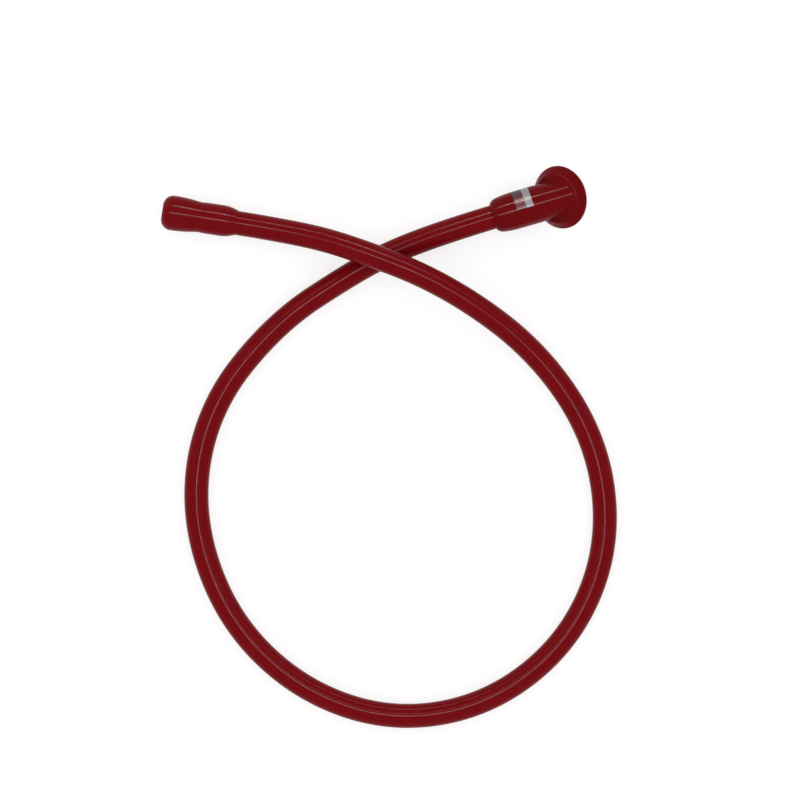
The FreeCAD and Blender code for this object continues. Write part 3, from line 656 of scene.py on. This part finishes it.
class PUMP_OT_cuff(bpy.types.Operator):
    """Turns the outlet cuff: rounded mouth, crest, flare, waist and the sleeve over the hose end"""

    bl_idname = "pump.cuff"
    bl_label = "Outlet cuff"

    def execute(self, context):
        cuff = piece_of("outlet_cuff", turned(cuff_profile(), CUFF_AROUND, cuff_frame()))
        red = vinyl("cuff_vinyl", context.scene.pump_colours.hose, ACROSS_MAP)
        finish_piece(cuff, red, "red_vinyl", "cuff")
        return {"FINISHED"}


def foot_profile(radius):
    """The foot's section (x, r) from the middle of its back, over the rim, to the valve hole in its
    bowl, with its soft edges."""
    return rounded(
        [
            (FOOT_BACK, 0.0, 0.0),
            (FOOT_BACK, FOOT_SHOULDER, 2.4),
            (-6.4, radius, 1.6),
            (FOOT_FACE, radius - 0.1, 1.8),
            (FOOT_FACE, radius - RIM_END, 0.35),
            (PLATE_LEDGE, radius - RIM_END, 0.0),
            (PLATE_LEDGE, radius - LEDGE_END, 0.3),
            (FOOT_CEILING, BOWL_RADIUS, 1.0),
            (FOOT_CEILING, VALVE_HOLE, 0.0),
        ],
        steps=8,
    )


def barrel_point(along, radius, angle):
    """Points round the barrel's axis: x is along it, y is r sin a and z is r cos a, from its hose end."""
    parts = np.broadcast_arrays(along, radius * np.sin(angle), radius * np.cos(angle))
    return np.array(HEAD_START) + np.stack(parts, axis=-1)


def foot_place(points, place):
    """Height over the foot's middle plane, distance from its axis and angle round it."""
    origin, axes = place
    local = (points - origin) @ axes.T
    return local[..., 0], np.hypot(local[..., 1], local[..., 2]), np.arctan2(local[..., 2], local[..., 1])


def foot_point(height, distance, angle, place):
    """The point at a height over the foot's plane, a distance d and angle a: height, d cos a, d sin a."""
    origin, axes = place
    local = np.stack([height, distance * np.cos(angle), distance * np.sin(angle)], axis=-1)
    return origin + local @ axes


def meeting(radius_of, angle, place, surface):
    """How far along the barrel each of its lines meets the foot: the first place at which the line's
    height over the foot's plane falls below that of the foot's surface."""
    along = MEETING_SEARCH
    grid = barrel_point(along[None, :], radius_of(along)[None, :], angle[:, None])
    height, distance, _ = foot_place(grid, place)
    over = height - surface(distance)
    i = np.clip(np.argmax(over < 0, axis=1), 1, None)
    row = np.arange(len(angle))
    share = over[row, i - 1] / (over[row, i - 1] - over[row, i])
    return along[i - 1] + share * (along[i] - along[i - 1])


def bulb_grid(sizes):
    """The bulb and foot as one closed skin of two parameters: the angle round the barrel, and the way
    from the lip along the barrel, over a soft corner on to the foot, over its rim, through bowl and
    valve hole, and back along the inside of the barrel to the lip. The soft corner is the quadratic
    curve from barrel to foot, drawn to the point where they meet. Also says which rows are the foot's."""
    place = foot_frame(sizes.foot_tilt)
    foot = dense(foot_profile(sizes.foot_radius / MM), FOOT_GAP)
    foot_along = length_along(foot)
    rim = int(np.argmax(foot[:, 1] > foot[:, 1].max() - SLACK)) + 1
    angle = np.linspace(0.0, 2 * math.pi, BULB_AROUND, endpoint=False)
    wall, reach = sizes.barrel_wall / MM, sizes.blend_radius / MM

    def ring(value):
        return np.full_like(angle, value)

    def back(distance):
        far_below = -60.0
        return np.interp(distance, foot[:rim, 1], foot[:rim, 0], right=far_below)

    def outer(along):
        return through(BARREL_KNOTS, along)

    def inner(along):
        return outer(along) - wall

    met = meeting(outer, angle, place, back)
    corner = barrel_point(met, outer(met), angle)
    _, distance, round_foot = foot_place(corner, place)
    met_inside = meeting(inner, angle, place, lambda distance: np.full_like(distance, FOOT_BACK))

    rows = [barrel_point(ring(x), r, angle) for x, r in rounded(LIP_CORNERS, steps=6)[:-1]]
    rows += [barrel_point(ring(x), outer(x), angle) for x in SQUARE_RINGS]
    for share in np.linspace(0.0, 1.0, SLANT_RINGS)[1:]:
        along = SQUARE_RINGS[-1] + (met - reach - SQUARE_RINGS[-1]) * share
        rows.append(barrel_point(along, outer(along), angle))
    start = rows[-1]
    foot_met = np.interp(distance, foot[:rim, 1], foot_along[:rim])
    first = foot_met + reach

    def on_profile(along):
        height = np.interp(along, foot_along, foot[:, 0])
        radius = np.interp(along, foot_along, foot[:, 1])
        return foot_point(height, radius, round_foot, place)

    end = on_profile(first)
    foot_start = len(rows) + CORNER_TURN
    for t in np.linspace(0.0, 1.0, CORNER_RINGS)[1:]:
        rows.append((1 - t) ** 2 * start + 2 * t * (1 - t) * corner + t**2 * end)
    stops = foot_along[foot_along > foot_met.min() + reach]
    for k, stop in enumerate(stops):
        outwards = np.maximum(stop, first + LEAST_GAP * (k + 1))
        rows.append(on_profile(np.minimum(outwards, foot_along[-1])))
    rows.append(foot_point(ring(FOOT_BACK), ring(VALVE_HOLE), round_foot, place))
    foot_end = len(rows) - 1
    wall_end = barrel_point(met_inside, inner(met_inside), angle)
    rows.append(rows[-1] * 0.5 + wall_end * 0.5)
    for share in np.linspace(1.0, 0.0, INNER_RINGS):
        along = NECK_DEPTH + (met_inside - NECK_DEPTH) * share
        rows.append(barrel_point(along, inner(along), angle))
    rows.append(barrel_point(ring(NECK_DEPTH), NECK_RADIUS, angle))
    return np.array(rows), np.arange(foot_start, foot_end)


class PUMP_OT_bulb(bpy.types.Operator):
    """Forms the bulb and its slanted foot as one hollow moulding"""

    bl_idname = "pump.bulb"
    bl_label = "Bulb and foot"

    def execute(self, context):
        grid, foot_rows = bulb_grid(context.scene.pump_sizes)
        bulb = piece_of("bulb_moulding", grid, turned_rows=foot_rows)
        red = vinyl("bulb_vinyl", context.scene.pump_colours.bulb, ACROSS_MAP)
        finish_piece(bulb, red, "red_vinyl", "bulb_body")
        return {"FINISHED"}


def label_material(colours):
    """Two plain panels of film side by side: one that goes from the red under it to a grey, with a dark
    edge and fine specks, and one pale and slightly clouded."""
    material, tree, shader = new_material("label_film")
    place = tree.nodes.new("ShaderNodeUVMap")
    place.uv_map = "UVMap"
    split = tree.nodes.new("ShaderNodeSeparateXYZ")
    tree.links.new(place.outputs["UV"], split.inputs["Vector"])
    along, across = split.outputs["X"], split.outputs["Y"]

    red, dark, pale = tuple(colours.bulb), tuple(colours.label_dark), tuple(colours.label_pale)
    edge = scaled(dark, EDGE_SHADE)
    fade = ramp(tree, across, [(0.0, red), (1.0, dark), (FADE_START, red), (FADE_END, dark)])
    dots = [(0.0, BLACK), (SPECK_LEVEL, scaled(WHITE, SPECK_SHARE))]
    specks = ramp(tree, noise(tree, FILM_SPECKS, detail=1.0), dots, hard=True)
    left = blend(tree, specks, fade, edge)
    cloud = spread(tree, noise(tree, FILM_CLOUDS), 0.0, 1.0)
    right = blend(tree, cloud, scaled(pale, PALE_LOW), scaled(pale, PALE_HIGH))
    half = ramp(tree, along, [(0.0, BLACK), (LABEL_SPLIT, WHITE)], hard=True)
    panels = blend(tree, half, left, right)
    line = (LABEL_LINE, scaled(WHITE, LINE_SHARE))
    sides = ramp(tree, along, [(0.0, WHITE), (LABEL_EDGE, BLACK), line, (LABEL_SPLIT, BLACK)], hard=True)
    tree.links.new(blend(tree, sides, panels, edge), shader.inputs["Base Color"])
    shader.inputs["Specular IOR Level"].default_value = 0.2
    gloss = spread(tree, noise(tree, FILM_GLOSS), *FILM_ROUGHNESS)
    tree.links.new(gloss, shader.inputs["Roughness"])
    bump(tree, shader, noise(tree, FILM_GRAIN, detail=2.0), strength=0.2, distance=FILM_DEPTH)
    return material


class PUMP_OT_label(bpy.types.Operator):
    """Wraps the bare two-tone label round the barrel, a little askew as it was stuck on"""

    bl_idname = "pump.label"
    bl_label = "Label"

    def execute(self, context):
        sizes = context.scene.pump_sizes
        across = np.linspace(0.0, 1.0, LABEL_AROUND)[:, None]
        along = np.linspace(0.0, 1.0, LABEL_ALONG)[None, :]
        angle = np.radians(LABEL_FIRST + LABEL_WRAP * across)
        place = sizes.label_start / MM + sizes.label_length / MM * along - LABEL_SKEW * (across - 0.5)
        radius = through(BARREL_KNOTS, place) + LABEL_LIFT
        grid = barrel_point(place, radius, np.broadcast_to(angle, place.shape))
        label = piece_of("label_film", grid, rows_close=False, columns_close=False, outward=1)
        solid = label.modifiers.new("thickness", "SOLIDIFY")
        solid.thickness = sizes.label_thickness
        solid.offset = 1.0
        finish_piece(label, label_material(context.scene.pump_colours), "label_film", "label")
        return {"FINISHED"}


def on_screw_circle(profile, around, place):
    """The same turned piece at even steps round the foot's axis, the first level with it, one grid each."""
    _, axes = place
    one = turned(profile, around, place)
    step = np.arange(SCREWS) * 2 * math.pi / SCREWS
    shifts = SCREW_CIRCLE * np.column_stack([np.zeros(SCREWS), -np.sin(step), np.cos(step)]) @ axes
    return [one + shift for shift in shifts]


def cross_recess(grids, place):
    """Presses a cross of two bars with sloping walls into the face of each screw. A point of the face
    moves along the axis by the depth times the deeper bar's share, which is 1 inside the bar, 0 outside
    it and falls evenly across its walls."""
    _, axes = place

    def within(distance, half):
        return np.clip((half - distance) / CROSS_WALL + 0.5, 0, 1)

    pressed = []
    for grid in grids:
        local = (grid - grid[0].mean(axis=0)) @ axes.T
        wide, high = np.abs(local[..., 1]), np.abs(local[..., 2])
        upright = within(wide, CROSS_WIDTH) * within(high, CROSS_LENGTH)
        level = within(high, CROSS_WIDTH) * within(wide, CROSS_LENGTH)
        on_face = np.abs(local[..., :1]) < TINY
        pressed.append(grid + CROSS_DEPTH * np.maximum(upright, level)[..., None] * on_face * axes[0])
    return pressed


class PUMP_OT_screws(bpy.types.Operator):
    """Makes the strainer's three countersunk screws with their cross recesses, and the bosses they bite in"""

    bl_idname = "pump.screws"
    bl_label = "Screws and bosses"

    def execute(self, context):
        colours = context.scene.pump_colours
        place = foot_frame(context.scene.pump_sizes.foot_tilt)
        radius = np.linspace(0.0, CROSS_REACH, FACE_RINGS)
        face = np.column_stack([np.full(FACE_RINGS, SCREW_FACE), radius])
        section = np.vstack([face, rounded(SCREW_SIDE, steps=4)])
        grids = cross_recess(on_screw_circle(section, SCREW_AROUND, place), place)
        screws = piece_of("strainer_screw_set", *grids, rows_close=False)
        steel = finish("screw_steel", colours.steel, roughness=0.26, metallic=1.0, shade=0.03)
        finish_piece(screws, steel, "steel", "strainer_screws")
        grids = on_screw_circle(rounded(BOSS_SIDE, steps=4), BOSS_AROUND, place)
        bosses = piece_of("screw_bosses", *grids, rows_close=False)
        finish_piece(bosses, vinyl("boss_vinyl", colours.bulb, ACROSS_MAP), "red_vinyl")
        return {"FINISHED"}


class PUMP_OT_fittings(bpy.types.Operator):
    """Finishes the strainer plate, valves, tails, gaskets and ferrules, whose shapes are the frame's own"""

    bl_idname = "pump.fittings"
    bl_label = "Inner fittings"

    def execute(self, context):
        colours = context.scene.pump_colours
        moulding = finish("moulded_acetal", colours.moulding, roughness=0.35)
        rubber = finish("black_rubber", colours.rubber, roughness=0.6)
        steel = finish("polished_steel", colours.steel, roughness=0.18, metallic=1.0)
        brass = finish("drawn_brass", colours.brass, roughness=0.28, metallic=1.0)
        plate = finish("strainer_plastic", colours.strainer, roughness=0.42)
        wear = {
            "_seat": moulding,
            "_cage": moulding,
            "_tail": moulding,
            "_seal": rubber,
            "_gasket": rubber,
            "_ball": steel,
            "_ferrule": brass,
            "_plate": plate,
        }
        for name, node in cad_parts.items():
            for ending, material in wear.items():
                if name.endswith(ending):
                    for slot in node.material_slots:
                        slot.link = "OBJECT"
                        slot.material = material
        return {"FINISHED"}


def gloss_lamp(lamp, place, aim, across):
    """Puts a lamp that shows only in gloss at a place, facing a point, with its side towards across.

    The columns of its matrix are its side, its up, which is square to its back and to across, its back,
    which points from the aim to the place, and the place."""
    item = bpy.data.objects.new(lamp.name, lamp)
    bpy.context.scene.collection.objects.link(item)
    back = unit(place - aim)
    up = unit(np.cross(back, across))
    side = np.cross(up, back)
    columns = np.column_stack([side, up, back, place])
    item.matrix_world = Matrix(np.vstack([columns, (0.0, 0.0, 0.0, 1.0)]).tolist())
    item.visible_diffuse = False


def floor_material():
    """White floor: half of what the camera and reflections see of it is its own glow, so that only soft
    shadows show on it."""
    material = bpy.data.materials.new("studio_floor")
    material.use_nodes = True
    tree = material.node_tree
    tree.nodes.remove(tree.nodes["Principled BSDF"])
    matte = tree.nodes.new("ShaderNodeBsdfDiffuse")
    matte.inputs["Color"].default_value = (FLOOR_GREY, FLOOR_GREY, FLOOR_GREY, 1.0)
    glow = tree.nodes.new("ShaderNodeEmission")
    glow.inputs["Color"].default_value = (*bpy.context.scene.pump_colours.floor, 1.0)
    glow.inputs["Strength"].default_value = FLOOR_GLOW
    path = tree.nodes.new("ShaderNodeLightPath")
    seen = path.outputs["Is Camera Ray"]
    for ray in ("Is Glossy Ray", "Is Transmission Ray"):
        either = tree.nodes.new("ShaderNodeMath")
        either.operation = "MAXIMUM"
        tree.links.new(seen, either.inputs[0])
        tree.links.new(path.outputs[ray], either.inputs[1])
        seen = either.outputs[0]
    half = tree.nodes.new("ShaderNodeMath")
    half.operation = "MULTIPLY"
    half.inputs[1].default_value = GLOW_SHARE
    tree.links.new(seen, half.inputs[0])
    mix = tree.nodes.new("ShaderNodeMixShader")
    tree.links.new(half.outputs[0], mix.inputs["Fac"])
    tree.links.new(matte.outputs[0], mix.inputs[1])
    tree.links.new(glow.outputs[0], mix.inputs[2])
    tree.links.new(mix.outputs[0], tree.nodes["Material Output"].inputs["Surface"])
    return material


def studio_world(scene):
    """A white room, which lights the pump softly from all round and shows in its gloss."""
    world = bpy.data.worlds.new("studio")
    scene.world = world
    world.use_nodes = True
    room = world.node_tree.nodes["Background"]
    room.inputs["Color"].default_value = (*WHITE, 1.0)
    room.inputs["Strength"].default_value = 1.0


class PUMP_OT_stage(bpy.types.Operator):
    """Sets the floor, the lamps that show in the gloss, the white room and the camera"""

    bl_idname = "pump.stage"
    bl_label = "Studio"

    def execute(self, context):
        scene = context.scene
        scene.view_settings.view_transform = "Standard"
        mesh = bpy.data.meshes.new("studio_floor")
        corners = [(-1, -1, 0), (1, -1, 0), (1, 1, 0), (-1, 1, 0)]
        mesh.from_pydata((FLOOR_HALF * np.array(corners)).tolist(), [], [(0, 1, 2, 3)])
        mesh.materials.append(floor_material())
        floor = bpy.data.objects.new("studio_floor", mesh)
        scene.collection.objects.link(floor)
        studio_world(scene)

        turn = math.radians(VIEW_TURN)
        right = np.array([math.cos(turn), math.sin(turn), 0.0])
        up = np.array([-math.sin(turn), math.cos(turn), 0.0])
        centre = np.array(VIEW_CENTRE)
        lamp = bpy.data.lights.new("top_lamp", "SUN")
        lamp.angle = math.radians(SUN_WIDTH)
        lamp.energy = SUN_POWER
        gloss_lamp(lamp, centre + (0.0, 0.0, SUN_HEIGHT), centre, right)
        for name, ahead, height, aim, cone, power in SPOTS:
            lamp = bpy.data.lights.new(name, "SPOT")
            lamp.spot_size = math.radians(cone)
            lamp.spot_blend = SPOT_BLEND
            lamp.shadow_soft_size = SPOT_RADIUS
            lamp.energy = power
            gloss_lamp(lamp, centre + ahead * up + (0.0, 0.0, height), centre + aim * up, right)

        camera = bpy.data.cameras.new("camera")
        camera.lens = LENS
        camera.sensor_width = SENSOR
        camera.clip_end = VIEW_REACH
        item = bpy.data.objects.new("camera", camera)
        scene.collection.objects.link(item)
        item.location = (centre[0], centre[1], VIEW_WIDTH * LENS / SENSOR)
        item.rotation_euler = (0.0, 0.0, turn)
        scene.camera = item
        return {"FINISHED"}


class PUMP_PT_panel(bpy.types.Panel):
    """Sizes, colours and steps of the pump"""

    bl_idname = "PUMP_PT_panel"
    bl_label = "Siphon bulb pump"
    bl_space_type = "VIEW_3D"
    bl_region_type = "UI"
    bl_category = "Pump"

    def draw(self, context):
        layout = self.layout
        for group in (context.scene.pump_sizes, context.scene.pump_colours):
            box = layout.box()
            for name in group.__annotations__:
                box.prop(group, name)
        for operator in OPERATORS:
            layout.operator(operator.bl_idname)


OPERATORS = (
    PUMP_OT_stage,
    PUMP_OT_hose,
    PUMP_OT_cuff,
    PUMP_OT_bulb,
    PUMP_OT_label,
    PUMP_OT_screws,
    PUMP_OT_fittings,
)
CLASSES = (PumpSizes, PumpColours, *OPERATORS, PUMP_PT_panel)


def register():
    for item in CLASSES:
        bpy.utils.register_class(item)
    bpy.types.Scene.pump_sizes = PointerProperty(type=PumpSizes)
    bpy.types.Scene.pump_colours = PointerProperty(type=PumpColours)


def unregister():
    del bpy.types.Scene.pump_colours
    del bpy.types.Scene.pump_sizes
    for item in reversed(CLASSES):
        bpy.utils.unregister_class(item)


def main():
    """Registers the add-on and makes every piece."""
    register()
    bpy.ops.pump.stage()
    bpy.ops.pump.hose()
    bpy.ops.pump.cuff()
    bpy.ops.pump.bulb()
    bpy.ops.pump.label()
    bpy.ops.pump.screws()
    bpy.ops.pump.fittings()


if __name__ == "__main__":
    main()
